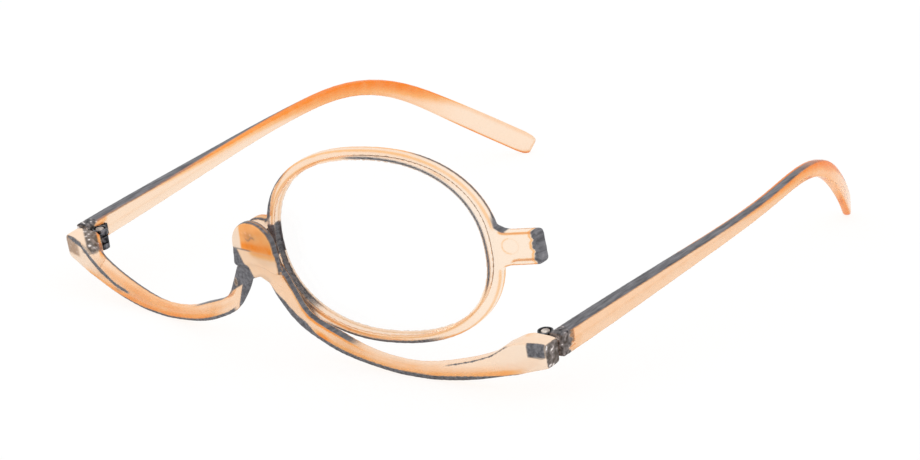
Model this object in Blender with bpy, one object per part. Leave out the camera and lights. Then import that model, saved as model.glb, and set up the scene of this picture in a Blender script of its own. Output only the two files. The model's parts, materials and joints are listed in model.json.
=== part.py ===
"""Makeup glasses with one lens that swings over the top from eye to eye.

The front has two lower half rims and a round boss over the nose. The lens ring
turns on a screw in that boss, behind the front. The temples fold on small
metal hinges.

Sizes are in millimetres in the frame's own axes: the origin is where the lens
screw meets the front surface, +X is to the right as seen from the front, +Y
runs back along the temples and +Z is up. Left and right are as seen from the
front. The last step tilts the frame so that it stands on its half rims and
temple tips.
"""
import math

import bmesh
import bpy
from mathutils import Matrix, Vector

MM = 0.001
GAP = 0.3

# The front surface and the lens ring's are parts of two spheres, the ring's a little smaller
WRAP_RADIUS = 242.0
RING_WRAP_RADIUS = 200.0
CORNER_ROUNDING = 0.7

# Half rims and end pieces, as centre line and width
ARCH_TOP = -7.2
LEG_WIDTH = 5.3
LEG_FOOT_X = 9.9
LEG_FOOT_Z = -15.6
LEG_DEPTH = 2.6
NOSE_BEVEL = 1.8
BEVEL_UNTIL = 16.0
BEVEL_GONE_AT = 26.0
RIM_LOWEST = -25.1
RIM_LOWEST_AT = 36.5
RIM_THINNEST = 3.2
RIM_DEPTH = 3.4
THIN_UNTIL = 27.0
DEEP_FROM = 40.0
END_HALF_WIDTH = 66.9
END_TOP = -13.5
END_BOTTOM = -19.5
END_REAR = 14.4
END_STARTS_AT = END_HALF_WIDTH - 9.6
END_FULL_AT = END_HALF_WIDTH - 6.1
RIM_STATIONS_PER_SPAN = 3

# Nose block with a raised boss face, the hub behind it, and the screw that the lens turns on
BOSS_RADIUS = 5.6
BOSS_MIDDLE = 0.7
BOSS_FLARE = 0.9
BOSS_FOOT = -6.2
BOSS_ARCH = 2.4
BOSS_CORNER = 1.6
BOSS_FRONT = -0.8
BOSS_REAR = 1.0
FACE_INSET = 0.1
FACE_FOOT = -0.5
FACE_FRONT = -1.2
BOSS_EDGE = 0.4
HUB_RADIUS = 3.2
INSERT_RADIUS = 2.0
INSERT_LENGTH = 1.7
SCREW_RADIUS = 1.05
SCREW_HEAD_RADIUS = 2.3
SCREW_HEAD_HEIGHT = 1.2
SCREW_HEAD_EDGE = 0.5
SCREW_SLOT_WIDTH = 0.5
SCREW_SLOT_DEPTH = 0.5
WASHER_RADIUS = 2.4
WASHER_THICKNESS = 0.5

# Lens ring, its lug behind the boss and its finger tab
RING_CLEARANCE = 0.4
OPENING_HALF_LENGTH = 24.9
OPENING_HALF_HEIGHT = 19.7
OPENING_CENTRE = OPENING_HALF_LENGTH + 3.8
RING_CENTRE = OPENING_CENTRE + 0.3
RING_HALF_LENGTH = OPENING_HALF_LENGTH + 2.8
RING_HALF_HEIGHT = OPENING_HALF_HEIGHT + 2.4
RING_SQUARENESS = 2.25
RING_DEPTH = 2.6
RING_STATIONS = 72
LUG_RADIUS = 5.8
LUG_DEPTH = 2.6
LUG_EDGE = 0.4
LUG_TRIM = 1.4
TAB_END = RING_CENTRE + RING_HALF_LENGTH + 8.7
TAB_HALF_HEIGHT = 3.7
TAB_ROOT_FLARE = 1.6
TAB_ROOT_OVERLAP = 2.0
TAB_ROOT_INSET = 0.3
TAB_DEPTH = 3.1
LENS_THICKNESS = 1.3
GROOVE_DEPTH = 0.8
INNER_EDGE = 0.25
LENS_RAISE_SHOWN = 5.6

# Temples: one bar that runs back and slightly out, then turns down and in
TEMPLE_OUTER = END_HALF_WIDTH + 1.0
TEMPLE_LENGTH = 157.6
TEMPLE_MIDDLE = -15.8
TEMPLE_THICKNESS = 3.6
BEND_THICKNESS = 2.8
TIP_THICKNESS = 2.1
TEMPLE_HEIGHT = 5.3
BEND_HEIGHT = 3.0
TIP_HEIGHT = 5.5
TIP_TAPER = 12.0
TIP_ROUNDING = 2.5
SLOPE = 0.8
BEND_START = 81.0
BEND_END = 127.0
BEND_DROP = 36.2
SPLAY = 1.9
CURL_START = 48.5
CURL_END = 160.0
CURL_IN = 30.9
TEMPLE_STATIONS = 44

# Hinges
HINGE_Z = -16.4
KNUCKLE_RADIUS = 1.7
KNUCKLE_HEIGHT = 1.4
HINGE_SCREW_RADIUS = 0.6
HINGE_HEAD_RADIUS = 1.0
HINGE_HEAD_HEIGHT = 0.5
ANCHOR_WIDTH = 3.2
ANCHOR_DEPTH = 2.4
ANCHOR_HEIGHT = 3.8
ARM_SINK = 1.0
ARM_INSET = 0.2
PLATE_SET_BACK = 0.9
PLATE_INSET = 0.1
PLATE_LENGTH = 5.5
PLATE_THICKNESS = 1.4
PLATE_HEIGHT = 2.6

# How far the round undersides are flattened where the glasses stand
FOOT_FLAT = 0.25

# Cutting tools run this far past what they cut
CUT_PAST = 1.0
# Faces that would lie in one plane are kept apart by this much
OFF_PLANE = 0.01

ROUND_SEGMENTS = 32
SMALL_SEGMENTS = 20
ARCH_SEGMENTS = 12


def sag(x, z, radius=WRAP_RADIUS):
    """How far back a wrapped surface lies at a place seen from the front."""
    return radius - math.sqrt(radius ** 2 - x * x - z * z)


def smooth_step(t):
    t = min(max(t, 0.0), 1.0)
    return t * t * (3.0 - 2.0 * t)


def mix(a, b, share):
    return a + (b - a) * share


def smooth_curve(points, per_span):
    """A Catmull-Rom curve through points of any number of coordinates."""
    before = [2 * a - b for a, b in zip(points[0], points[1])]
    after = [2 * a - b for a, b in zip(points[-1], points[-2])]
    p = [before] + [list(q) for q in points] + [after]
    curve = []
    for i in range(1, len(p) - 2):
        for k in range(per_span):
            t = k / per_span
            place = []
            for a, b, c, d in zip(p[i - 1], p[i], p[i + 1], p[i + 2]):
                square = 2 * a - 5 * b + 4 * c - d
                cube = 3 * b - a - 3 * c + d
                place.append(0.5 * (2 * b + (c - a) * t + square * t * t + cube * t ** 3))
            curve.append(place)
    curve.append(list(points[-1]))
    return curve


def rounded(corners, rounding):
    """A closed outline through flat corners, each one rounded with three points."""
    outline = []
    for i, corner in enumerate(corners):
        before = corners[i - 1] - corner
        after = corners[(i + 1) % len(corners)] - corner
        r = min(rounding, 0.4 * before.length, 0.4 * after.length)
        start = corner + before.normalized() * r
        end = corner + after.normalized() * r
        outline += [start, (start + end + 2 * corner) / 4, end]
    return outline


def material(name, colour, roughness, metallic=0.0):
    """A plain surface of one colour."""
    m = bpy.data.materials.new(name)
    m.use_nodes = True
    shader = m.node_tree.nodes["Principled BSDF"]
    shader.inputs["Base Color"].default_value = (*colour, 1.0)
    shader.inputs["Roughness"].default_value = roughness
    shader.inputs["Metallic"].default_value = metallic
    return m


def add_object(name, bm, surface=None, sharp_angle=40.0):
    """Turns a bmesh in millimetres into a smooth-shaded object."""
    bmesh.ops.recalc_face_normals(bm, faces=bm.faces)
    bmesh.ops.scale(bm, vec=(MM, MM, MM), verts=bm.verts)
    mesh = bpy.data.meshes.new(name)
    bm.to_mesh(mesh)
    bm.free()
    if surface:
        mesh.materials.append(surface)
    mesh.shade_smooth()
    mesh.set_sharp_from_angle(angle=math.radians(sharp_angle))
    obj = bpy.data.objects.new(name, mesh)
    bpy.context.scene.collection.objects.link(obj)
    return obj


def loft(sections, closed=False):
    """Joins sections of equal point count into one skin, capped unless it closes on itself."""
    bm = bmesh.new()
    rings = [[bm.verts.new(p) for p in section] for section in sections]
    count = len(rings)
    for i in range(count if closed else count - 1):
        a = rings[i]
        b = rings[(i + 1) % count]
        for k in range(len(a)):
            n = (k + 1) % len(a)
            bm.faces.new((a[k], a[n], b[n], b[k]))
    if not closed:
        bm.faces.new(rings[0])
        bm.faces.new(reversed(rings[-1]))
    return bm


def box(low, high):
    """A plain block between two corners."""
    bm = bmesh.new()
    bmesh.ops.create_cube(bm, size=1.0)
    size = [b - a for a, b in zip(low, high)]
    middle = [(a + b) / 2 for a, b in zip(low, high)]
    bmesh.ops.scale(bm, vec=size, verts=bm.verts)
    bmesh.ops.translate(bm, vec=middle, verts=bm.verts)
    return bm


def turned(profile, axis, centre, segments):
    """A body turned from (radius, place along the axis) points.

    A profile whose ends lie on the axis gives a solid body. Any other profile
    is closed on itself and gives a ring.
    """
    sections = []
    for k in range(segments):
        angle = 2 * math.pi * k / segments
        section = []
        for radius, along in profile:
            u = radius * math.cos(angle)
            v = radius * math.sin(angle)
            offset = Vector((u, along, v)) if axis == "Y" else Vector((u, v, along))
            section.append(centre + offset)
        sections.append(section)
    if profile[0][0] > 0:
        return loft(sections, closed=True)
    bm = bmesh.new()
    first = bm.verts.new(sections[0][0])
    last = bm.verts.new(sections[0][-1])
    rings = [[bm.verts.new(p) for p in section[1:-1]] for section in sections]
    for i, a in enumerate(rings):
        b = rings[(i + 1) % len(rings)]
        bm.faces.new((first, a[0], b[0]))
        for k in range(len(a) - 1):
            bm.faces.new((a[k], a[k + 1], b[k + 1], b[k]))
        bm.faces.new((last, b[-1], a[-1]))
    return bm


def rod(radius, low, high):
    """Profile of a plain round bar between two places along its axis."""
    return [(0.0, low), (radius, low), (radius, high), (0.0, high)]


def on_pivot(name, profile, segments, surface=None):
    """A body turned about the lens screw's axis."""
    return add_object(name, turned(profile, "Y", Vector((0, 0, 0)), segments), surface)


def combine(target, tool, operation):
    """Joins a hidden tool body to an object, or cuts it away. The tool goes where the object goes."""
    tool.hide_render = True
    tool.display_type = "WIRE"
    tool.parent = target
    boolean(target, tool, operation)


def boolean(target, tool, operation):
    step = target.modifiers.new(tool.name, "BOOLEAN")
    step.object = tool
    step.operation = operation
    step.solver = "EXACT"


def rim_stations():
    """Centre x and z of the half rim and its width, from mid-nose to the end piece."""
    end_z = (END_TOP + END_BOTTOM) / 2
    end_height = END_TOP - END_BOTTOM
    lowest = RIM_LOWEST + RIM_THINNEST / 2
    arch = ARCH_TOP + LEG_WIDTH / 2
    span = END_HALF_WIDTH - RIM_LOWEST_AT
    rise = end_z - lowest
    return [
        (0.0, arch, LEG_WIDTH),
        (0.39 * LEG_FOOT_X, mix(arch, LEG_FOOT_Z, 0.15), LEG_WIDTH),
        (0.57 * LEG_FOOT_X, mix(arch, LEG_FOOT_Z, 0.45), LEG_WIDTH),
        (LEG_FOOT_X, LEG_FOOT_Z, 0.81 * LEG_WIDTH),
        (mix(LEG_FOOT_X, RIM_LOWEST_AT, 0.30), mix(LEG_FOOT_Z, lowest, 0.50), 0.83 * LEG_WIDTH),
        (mix(LEG_FOOT_X, RIM_LOWEST_AT, 0.59), mix(LEG_FOOT_Z, lowest, 0.81), 1.05 * RIM_THINNEST),
        (RIM_LOWEST_AT, lowest, RIM_THINNEST),
        (RIM_LOWEST_AT + 0.36 * span, lowest + 0.22 * rise, mix(RIM_THINNEST, end_height, 0.45)),
        (RIM_LOWEST_AT + 0.63 * span, lowest + 0.56 * rise, mix(RIM_THINNEST, end_height, 0.85)),
        (RIM_LOWEST_AT + 0.77 * span, lowest + 0.84 * rise, 1.25 * end_height),
        (RIM_LOWEST_AT + 0.89 * span, lowest + 0.95 * rise, 1.14 * end_height),
        (END_HALF_WIDTH - CORNER_ROUNDING, end_z, end_height),
        (END_HALF_WIDTH, end_z, end_height - CORNER_ROUNDING),
    ]


def rim_depth(x):
    """Depth from front to back: thin where the lens ring passes behind, then deeper."""
    return mix(LEG_DEPTH, RIM_DEPTH, smooth_step((x - THIN_UNTIL) / (DEEP_FROM - THIN_UNTIL)))


def nose_bevel(x):
    """How far the rim's back edge is cut back on the nose side."""
    return NOSE_BEVEL * (1 - smooth_step((x - BEVEL_UNTIL) / (BEVEL_GONE_AT - BEVEL_UNTIL)))


def rim_sections():
    """Rounded sections of the half rim on the right, square to its centre line."""
    line = smooth_curve(rim_stations(), RIM_STATIONS_PER_SPAN)
    sections = []
    for i, (x, z, width) in enumerate(line):
        ahead = line[min(i + 1, len(line) - 1)]
        behind = line[max(i - 1, 0)]
        along = Vector((ahead[0] - behind[0], ahead[1] - behind[1]))
        end_share = smooth_step((x - END_STARTS_AT) / (END_FULL_AT - END_STARTS_AT))
        along = along.normalized() * (1 - end_share) + Vector((1, 0)) * end_share
        if i == 0:
            along = Vector((1, 0))
        across = Vector((-along.y, along.x)).normalized()
        low = -width / 2
        high = width / 2
        low_at_back = low + nose_bevel(x)
        corners = []
        for up, at_back in ((low, 0), (high, 0), (high, 1), (low_at_back, 1)):
            cx = x + up * across.x
            cz = z + up * across.y
            front = sag(cx, cz)
            back = mix(front + rim_depth(cx), END_REAR, end_share)
            corners.append(Vector((cx, back if at_back else front, cz)))
        sections.append(rounded(corners, CORNER_ROUNDING))
    return sections


def mirrored(points):
    return [Vector((-p.x, p.y, p.z)) for p in points]


def tombstone(radius, foot, flare, arch, corner, y):
    """Half circle on sides that flare to an arched foot with eased corners, as a flat outline."""
    outline = []
    for k in range(ARCH_SEGMENTS + 1):
        across = 2 * k / ARCH_SEGMENTS - 1
        rise = arch * (1 - across ** 2) + corner * across ** 8
        outline.append(Vector((across * (radius + flare), y, foot + rise)))
    for k in range(ROUND_SEGMENTS + 1):
        angle = math.pi * k / ROUND_SEGMENTS
        outline.append(Vector((radius * math.cos(angle), y, BOSS_MIDDLE + radius * math.sin(angle))))
    return outline


def tombstone_block(radius, front, back, foot, flare=0.0, arch=0.0, corner=0.0):
    """Block with the boss's outline and eased front and back edges."""
    e = BOSS_EDGE
    near = [(front, e), (front + e / 3, e / 3), (front + e, 0)]
    far = [(back - e, 0), (back - e / 3, e / 3), (back, e)]
    sections = []
    for y, inset in near + far:
        sections.append(tombstone(radius - inset, foot + inset, flare, arch, corner, y))
    return loft(sections)


def front_frame(surface):
    """Both half rims and the arch as one sweep, with the boss joined on."""
    half = rim_sections()
    other = [mirrored(section) for section in reversed(half[1:])]
    frame = add_object("front_frame", loft(other + half), surface)
    block = tombstone_block(
        BOSS_RADIUS, BOSS_FRONT, BOSS_REAR, BOSS_FOOT, BOSS_FLARE, BOSS_ARCH, BOSS_CORNER
    )
    combine(frame, add_object("boss_tool", block), "UNION")
    face_back = (BOSS_FRONT + BOSS_REAR) / 2
    face = tombstone_block(BOSS_RADIUS - FACE_INSET, FACE_FRONT, face_back, FACE_FOOT)
    combine(frame, add_object("face_tool", face), "UNION")
    combine(frame, on_pivot("hub_tool", rod(HUB_RADIUS, face_back, LEG_DEPTH), ROUND_SEGMENTS), "UNION")
    floor = LEG_DEPTH - GAP - INSERT_LENGTH - GAP
    hole = rod(INSERT_RADIUS + GAP, floor, LEG_DEPTH + CUT_PAST)
    combine(frame, on_pivot("bore_tool", hole, ROUND_SEGMENTS), "DIFFERENCE")
    for sign, side in ((-1, "left"), (1, "right")):
        low, high = anchor_box(sign, GAP)
        high[1] = END_REAR + CUT_PAST
        combine(frame, add_object(side + "_pocket_tool", box(low, high)), "DIFFERENCE")
    return frame


def ring_seat():
    """Where the ring's front surface crosses the screw's axis."""
    return LEG_DEPTH + RING_CLEARANCE


def ring_front(x, z):
    return ring_seat() + sag(x, z, RING_WRAP_RADIUS)


def superellipse(angle, centre, half_length, half_height):
    """A point of a rounded oval, as (x, z) along and across its long axis."""
    power = 2.0 / RING_SQUARENESS
    c = math.cos(angle)
    s = math.sin(angle)
    x = math.copysign(abs(c) ** power, c)
    z = math.copysign(abs(s) ** power, s)
    return centre + half_length * x, half_height * z


def opening_point(angle, grow):
    return superellipse(angle, OPENING_CENTRE, OPENING_HALF_LENGTH + grow, OPENING_HALF_HEIGHT + grow)


def station_angles():
    return [2 * math.pi * k / RING_STATIONS for k in range(RING_STATIONS)]


def ring_section(angle):
    """Section of the ring, rounded outside, with the groove that holds the lens."""
    xo, zo = superellipse(angle, RING_CENTRE, RING_HALF_LENGTH, RING_HALF_HEIGHT)
    xi, zi = opening_point(angle, 0.0)
    outward = Vector((xo - xi, 0, zo - zi)).normalized()
    inner = Vector((xi, 0, zi))
    outer = Vector((xo, 0, zo))
    lip = (RING_DEPTH - LENS_THICKNESS) / 2 - GAP
    r = CORNER_ROUNDING
    half = [
        (outer, r),
        (outer - outward * r * 0.25, r * 0.25),
        (outer - outward * r, 0.0),
        (inner + outward * INNER_EDGE, 0.0),
        (inner, INNER_EDGE),
        (inner, lip),
        (inner + outward * GROOVE_DEPTH, lip),
    ]
    steps = half + [(p, RING_DEPTH - back) for p, back in reversed(half)]
    return [Vector((p.x, ring_front(p.x, p.z) + back, p.z)) for p, back in steps]


def opening_prism(grow, low, high):
    """A straight block with the outline of the ring's opening."""
    outlines = []
    for y in (low, high):
        outline = [opening_point(angle, grow) for angle in station_angles()]
        outlines.append([Vector((x, y, z)) for x, z in outline])
    return loft(outlines)


def tab_body():
    """Finger tab: a flared root inside the ring's band, then a rounded block."""
    ring_end = RING_CENTRE + RING_HALF_LENGTH
    stations = [
        (ring_end - TAB_ROOT_OVERLAP, TAB_HALF_HEIGHT + TAB_ROOT_FLARE, TAB_ROOT_INSET),
        (ring_end - 0.2 * TAB_ROOT_OVERLAP, TAB_HALF_HEIGHT + 0.7 * TAB_ROOT_FLARE, TAB_ROOT_INSET / 2),
        (ring_end + 0.4 * TAB_ROOT_OVERLAP, TAB_HALF_HEIGHT + 0.2 * TAB_ROOT_FLARE, 0.0),
        (ring_end + TAB_ROOT_OVERLAP, TAB_HALF_HEIGHT, 0.0),
        (TAB_END - CORNER_ROUNDING, TAB_HALF_HEIGHT, 0.0),
        (TAB_END - 0.2 * CORNER_ROUNDING, TAB_HALF_HEIGHT - 0.4 * CORNER_ROUNDING, 0.3 * CORNER_ROUNDING),
        (TAB_END, TAB_HALF_HEIGHT - CORNER_ROUNDING, CORNER_ROUNDING),
    ]
    spare = (TAB_DEPTH - RING_DEPTH) / 2
    sections = []
    for x, half, inset in stations:
        front = ring_front(x, 0) - spare + inset
        back = front + TAB_DEPTH - 2 * inset
        outline = ((front, -half), (front, half), (back, half), (back, -half))
        corners = [Vector((x, y, z)) for y, z in outline]
        sections.append(rounded(corners, CORNER_ROUNDING))
    return loft(sections)


def lens_rim(surface):
    """Ring, lug and tab in one piece. The lug is cut back round the opening."""
    sections = [ring_section(angle) for angle in station_angles()]
    rim = add_object("lens_rim", loft(sections, closed=True), surface)
    front = ring_seat()
    back = front + LUG_DEPTH
    profile = [
        (0.0, front),
        (LUG_RADIUS - LUG_EDGE, front),
        (LUG_RADIUS, front + LUG_EDGE),
        (LUG_RADIUS, back - LUG_EDGE),
        (LUG_RADIUS - LUG_EDGE, back),
        (0.0, back),
    ]
    lug = on_pivot("lug_tool", profile, 2 * ROUND_SEGMENTS)
    trim = add_object("trim_tool", opening_prism(LUG_TRIM, front - CUT_PAST, back + CUT_PAST))
    combine(lug, trim, "DIFFERENCE")
    combine(rim, lug, "UNION")
    combine(rim, add_object("tab_tool", tab_body()), "UNION")
    through = rod(SCREW_RADIUS + GAP, front - CUT_PAST, back + CUT_PAST)
    combine(rim, on_pivot("lug_bore_tool", through, ROUND_SEGMENTS), "DIFFERENCE")
    pocket = rod(WASHER_RADIUS + GAP, front - CUT_PAST, washer_front() + WASHER_THICKNESS + GAP)
    combine(rim, on_pivot("washer_pocket_tool", pocket, ROUND_SEGMENTS), "DIFFERENCE")
    return rim


def lens(surface):
    """Lens that follows the ring's surface, its edge held in the ring's groove."""
    reach = GROOVE_DEPTH - GAP
    start = (RING_DEPTH - LENS_THICKNESS) / 2
    shares = (0.25, 0.5, 0.75, 0.93, 1.0)
    bm = bmesh.new()
    rims = []
    for back in (start, start + LENS_THICKNESS):
        rings = []
        for share in shares:
            ring = []
            for angle in station_angles():
                x, z = opening_point(angle, reach)
                x = mix(OPENING_CENTRE, x, share)
                z = z * share
                ring.append(bm.verts.new((x, ring_front(x, z) + back, z)))
            rings.append(ring)
        middle = bm.verts.new((OPENING_CENTRE, ring_front(OPENING_CENTRE, 0) + back, 0))
        for k in range(RING_STATIONS):
            n = (k + 1) % RING_STATIONS
            bm.faces.new((middle, rings[0][k], rings[0][n]))
            for a, b in zip(rings, rings[1:]):
                bm.faces.new((a[k], b[k], b[n], a[n]))
        rims.append(rings[-1])
    front, back = rims
    for k in range(RING_STATIONS):
        n = (k + 1) % RING_STATIONS
        bm.faces.new((front[k], front[n], back[n], back[k]))
    return add_object("lens", bm, surface, 50.0)


def pivot_screw(surface):
    """Screw from the back through the lug and washer into the insert."""
    seat = ring_seat() + LUG_DEPTH + GAP
    tip = LEG_DEPTH - GAP - INSERT_LENGTH
    head = seat + SCREW_HEAD_HEIGHT
    point = 0.3 * SCREW_RADIUS
    profile = [
        (0.0, tip),
        (SCREW_RADIUS - point, tip),
        (SCREW_RADIUS, tip + point),
        (SCREW_RADIUS, seat),
        (SCREW_HEAD_RADIUS, seat),
        (SCREW_HEAD_RADIUS, head - SCREW_HEAD_EDGE),
        (SCREW_HEAD_RADIUS - SCREW_HEAD_EDGE, head),
        (0.0, head),
    ]
    screw = on_pivot("pivot_screw", profile, ROUND_SEGMENTS, surface)
    half = SCREW_SLOT_WIDTH / 2
    reach = SCREW_HEAD_RADIUS + CUT_PAST
    slot = box((-reach, head - SCREW_SLOT_DEPTH, -half), (reach, head + CUT_PAST, half))
    combine(screw, add_object("slot_tool", slot), "DIFFERENCE")
    return screw


def tube(inner, outer, low, high):
    """Profile of a plain ring between two places along its axis."""
    return [(inner, low), (outer, low), (outer, high), (inner, high)]


def pivot_insert(surface):
    """Threaded bush set in the boss, which the screw holds in."""
    rear = LEG_DEPTH - GAP
    profile = tube(SCREW_RADIUS + GAP, INSERT_RADIUS, rear - INSERT_LENGTH, rear)
    return on_pivot("pivot_insert", profile, ROUND_SEGMENTS, surface)


def washer_front():
    return LEG_DEPTH + GAP


def friction_washer(surface):
    """Washer between boss and lug, which holds the lens at any angle."""
    front = washer_front()
    profile = tube(SCREW_RADIUS + GAP, WASHER_RADIUS, front, front + WASHER_THICKNESS)
    return on_pivot("friction_washer", profile, ROUND_SEGMENTS, surface)


def hinge_axis(sign):
    """Where the hinge screw stands, just inside the temple and behind the end piece."""
    x = TEMPLE_OUTER - TEMPLE_THICKNESS - GAP - KNUCKLE_RADIUS
    y = END_REAR + GAP + KNUCKLE_RADIUS
    return Vector((sign * x, y, HINGE_Z))


def on_hinge(name, sign, profile, surface=None):
    """A body turned about a hinge screw's axis, from heights in the frame's own axes."""
    centre = hinge_axis(sign)
    centre.z = 0
    return add_object(name, turned(profile, "Z", centre, SMALL_SEGMENTS), surface)


def knuckle_span(index):
    """Lowest and highest place of a knuckle: 0 is the bottom one, 2 the top one."""
    middle = HINGE_Z + (index - 1) * (KNUCKLE_HEIGHT + GAP)
    return middle - KNUCKLE_HEIGHT / 2, middle + KNUCKLE_HEIGHT / 2


def knuckle(name, sign, index):
    """One ring of the hinge. The top one has a recess for the screw's head."""
    low, high = knuckle_span(index)
    bore = HINGE_SCREW_RADIUS + GAP
    profile = tube(bore, KNUCKLE_RADIUS, low, high)
    if index == 2:
        recess = HINGE_HEAD_RADIUS + GAP
        step = high - HINGE_HEAD_HEIGHT - GAP
        profile[3:] = [(recess, high), (recess, step), (bore, step)]
    return on_hinge(name, sign, profile)


def knuckle_void(name, sign):
    """The space round the screw, kept free in a hinge leaf."""
    radius = (HINGE_SCREW_RADIUS + GAP + KNUCKLE_RADIUS) / 2
    low = knuckle_span(0)[0] - CUT_PAST
    high = knuckle_span(2)[1] + CUT_PAST
    return on_hinge(name, sign, rod(radius, low, high))


def ordered_box(x_range, y_range, z_range):
    """Corners of a block whose ranges may run either way."""
    low = [min(r) for r in (x_range, y_range, z_range)]
    high = [max(r) for r in (x_range, y_range, z_range)]
    return low, high


def anchor_box(sign, grow):
    """Block of the front leaf that is set into the rear of the end piece."""
    outer = abs(hinge_axis(sign).x) + KNUCKLE_RADIUS
    half = ANCHOR_HEIGHT / 2 + grow
    return ordered_box(
        (sign * (outer - ANCHOR_WIDTH - grow), sign * (outer + grow)),
        (END_REAR - ANCHOR_DEPTH - grow, END_REAR),
        (HINGE_Z - half, HINGE_Z + half),
    )


def plate_front():
    return END_REAR + GAP + PLATE_SET_BACK


def plate_box(sign, grow):
    """Plate of the temple leaf that is let into the temple's inner side."""
    inner = TEMPLE_OUTER - TEMPLE_THICKNESS + PLATE_INSET
    half = PLATE_HEIGHT / 2 + grow
    front = plate_front()
    return ordered_box(
        (sign * inner, sign * (inner + PLATE_THICKNESS + grow)),
        (front - grow, front + PLATE_LENGTH + grow),
        (HINGE_Z - half, HINGE_Z + half),
    )


def add_arm(leaf, name, sign, index, arm_box):
    """Joins an arm and its knuckle to a hinge leaf, clear of the screw."""
    arm = add_object(f"{name}_arm_{index}_tool", box(*arm_box))
    combine(arm, knuckle_void(f"{name}_void_{index}_tool", sign), "DIFFERENCE")
    combine(arm, knuckle(f"{name}_knuckle_{index}_tool", sign, index), "UNION")
    combine(leaf, arm, "UNION")


def front_leaf(side, sign, surface):
    """Anchor block with two arms that end in the outer knuckles."""
    name = side + "_front_leaf"
    leaf = add_object(name, box(*anchor_box(sign, 0.0)), surface)
    axis = hinge_axis(sign)
    half_width = KNUCKLE_RADIUS - ARM_INSET
    for index in (0, 2):
        low, high = knuckle_span(index)
        low = max(low, HINGE_Z - ANCHOR_HEIGHT / 2)
        high = min(high, HINGE_Z + ANCHOR_HEIGHT / 2)
        arm_box = ordered_box(
            (axis.x - half_width, axis.x + half_width),
            (END_REAR - ARM_SINK, axis.y),
            (low + OFF_PLANE, high - OFF_PLANE),
        )
        add_arm(leaf, name, sign, index, arm_box)
    return leaf


def temple_leaf(side, sign, surface):
    """Inlaid plate with one arm that ends in the middle knuckle."""
    name = side + "_temple_leaf"
    leaf = add_object(name, box(*plate_box(sign, 0.0)), surface)
    axis = hinge_axis(sign)
    low, high = knuckle_span(1)
    plate_middle = TEMPLE_OUTER - TEMPLE_THICKNESS + PLATE_INSET + PLATE_THICKNESS / 2
    arm_box = ordered_box(
        (axis.x, sign * plate_middle),
        (plate_front(), 2 * axis.y - plate_front()),
        (low + OFF_PLANE, high - OFF_PLANE),
    )
    add_arm(leaf, name, sign, 1, arm_box)
    return leaf


def hinge_screw(side, sign, surface):
    """Small screw down through all three knuckles."""
    low = knuckle_span(0)[0]
    high = knuckle_span(2)[1]
    step = high - HINGE_HEAD_HEIGHT
    edge = 0.2 * HINGE_HEAD_HEIGHT
    profile = [
        (0.0, low),
        (HINGE_SCREW_RADIUS, low),
        (HINGE_SCREW_RADIUS, step),
        (HINGE_HEAD_RADIUS, step),
        (HINGE_HEAD_RADIUS, high - edge),
        (HINGE_HEAD_RADIUS - edge, high),
        (0.0, high),
    ]
    return on_hinge(side + "_hinge_screw", sign, profile, surface)


def temple_heading(s):
    """Direction of the temple and of its width, at a length along it."""
    drop = math.radians(SLOPE + BEND_DROP * smooth_step((s - BEND_START) / (BEND_END - BEND_START)))
    turn = math.radians(CURL_IN * smooth_step((s - CURL_START) / (CURL_END - CURL_START)) - SPLAY)
    heading = Vector((-math.cos(drop) * math.sin(turn), math.cos(drop) * math.cos(turn), -math.sin(drop)))
    sideways = Vector((math.cos(turn), math.sin(turn), 0))
    return heading, sideways


def temple_size(s):
    """Height and thickness of the temple at a length along it."""
    taper = smooth_step(s / BEND_START)
    widen = smooth_step((s - BEND_START) / (TEMPLE_LENGTH - TIP_TAPER - BEND_START))
    height = mix(mix(TEMPLE_HEIGHT, BEND_HEIGHT, taper), TIP_HEIGHT, widen)
    thickness = mix(mix(TEMPLE_THICKNESS, BEND_THICKNESS, taper), TIP_THICKNESS, widen)
    roundness = math.sqrt(min(1.0, (TEMPLE_LENGTH - s) / TIP_ROUNDING))
    return height * mix(0.7, 1.0, roundness), thickness * mix(0.6, 1.0, roundness)


def temple_sections(sign):
    """Sections along the temple, from the hinge end to the tip."""
    place = Vector((TEMPLE_OUTER - TEMPLE_THICKNESS / 2, END_REAR + GAP, TEMPLE_MIDDLE))
    lengths = [TEMPLE_LENGTH * k / TEMPLE_STATIONS for k in range(TEMPLE_STATIONS)]
    lengths += [TEMPLE_LENGTH - TIP_ROUNDING * share for share in (0.6, 0.25, 0.06, 0.0)]
    sections = []
    at = 0.0
    for s in lengths:
        heading, sideways = temple_heading((at + s) / 2)
        place = place + heading * (s - at)
        at = s
        heading, sideways = temple_heading(s)
        upward = sideways.cross(heading)
        height, thickness = temple_size(s)
        corners = []
        for a, b in ((-1, -1), (1, -1), (1, 1), (-1, 1)):
            corner = place + sideways * a * thickness / 2 + upward * b * height / 2
            if s == 0.0:
                corner.y = place.y
            corners.append(Vector((sign * corner.x, corner.y, corner.z)))
        sections.append(rounded(corners, CORNER_ROUNDING))
    return sections


def temple(side, sign, surface):
    """Temple with a recess for its hinge plate."""
    bar = add_object(side + "_temple", loft(temple_sections(sign)), surface)
    low, high = plate_box(sign, GAP)
    inner = TEMPLE_OUTER - TEMPLE_THICKNESS - CUT_PAST
    if sign > 0:
        low[0] = inner
    else:
        high[0] = -inner
    combine(bar, add_object(side + "_plate_pocket_tool", box(low, high)), "DIFFERENCE")
    return bar


def empty(name, place, parent=None):
    """A named axis that pieces turn about, at a place in millimetres."""
    e = bpy.data.objects.new(name, None)
    bpy.context.scene.collection.objects.link(e)
    e.location = place * MM
    e.parent = parent
    return e


def hang(obj, parent, pivot):
    """Hangs an object and its tools on a pivot's empty, with their origins at the pivot."""
    for piece in [obj] + list(obj.children_recursive):
        piece.data.transform(Matrix.Translation(-pivot * MM))
    obj.parent = parent


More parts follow.
